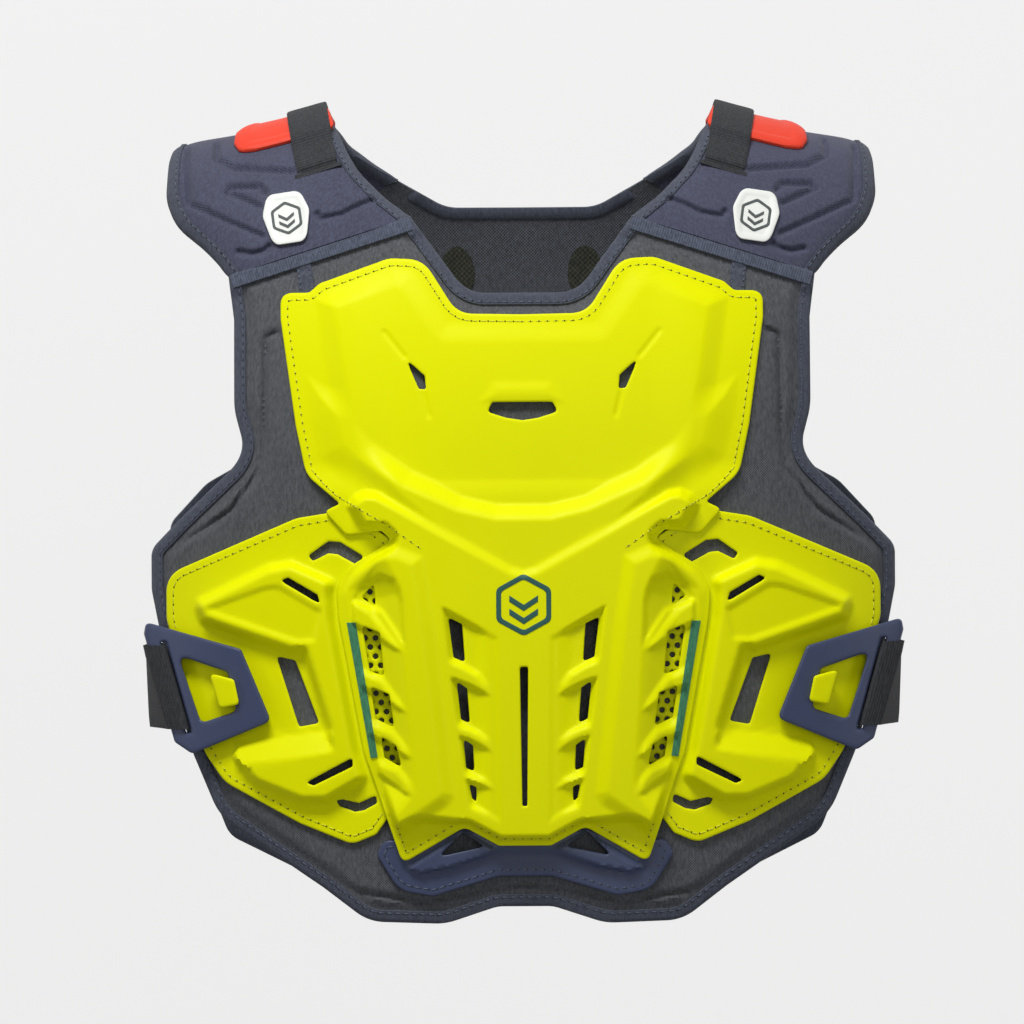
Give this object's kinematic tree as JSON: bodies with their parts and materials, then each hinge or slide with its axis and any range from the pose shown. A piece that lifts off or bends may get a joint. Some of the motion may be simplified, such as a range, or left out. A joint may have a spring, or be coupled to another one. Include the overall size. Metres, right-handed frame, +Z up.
{
  "type": "roost deflector",
  "caption": "Junior chest and back protector: padded panels joined over the shoulders, moulded chest, side, hem and back shells, and elastic side straps hooked on by rings.",
  "frame": {"origin": "on the middle plane, level with the tops of the wearer's shoulders, where the shoulder pads rest", "axes": "+Z up along the wearer, chest towards -Y, back towards +Y; left is -X, as seen from in front of the chest"},
  "size_m": [0.384, 0.236, 0.4114],
  "materials": {
    "panel_fabric": "dark grey textile over foam, bound at the edges",
    "pad_fabric": "navy textile heat-moulded over foam",
    "woven_tape": "ribbed woven tape",
    "webbing": "black webbing and elastic",
    "shell_plastic": "satin fluorescent yellow moulding",
    "navy_plastic": "satin navy moulding",
    "tab_rubber": "matte orange-red soft moulding",
    "badge_rubber": "matte white soft moulding"
  },
  "bodies": {
    "root": {"front_panel": "panel_fabric", "back_panel": "panel_fabric", "centre_shell": "shell_plastic", "tail_shell": "navy_plastic", "back_shell": "shell_plastic", "shoulder_pad_right": "pad_fabric", "shoulder_pad_left": "pad_fabric", "seam_tape_right": "woven_tape", "seam_tape_left": "woven_tape", "shoulder_strap_right": "webbing", "shoulder_strap_left": "webbing", "strap_tab_right": "tab_rubber", "strap_tab_left": "tab_rubber", "shoulder_badge_right": "badge_rubber", "shoulder_badge_left": "badge_rubber", "side_shell_right": "shell_plastic", "side_shell_left": "shell_plastic", "strap_ring_right": "navy_plastic", "strap_ring_left": "navy_plastic", "side_strap_right": "webbing", "side_strap_left": "webbing"}
  },
  "joints": []
}
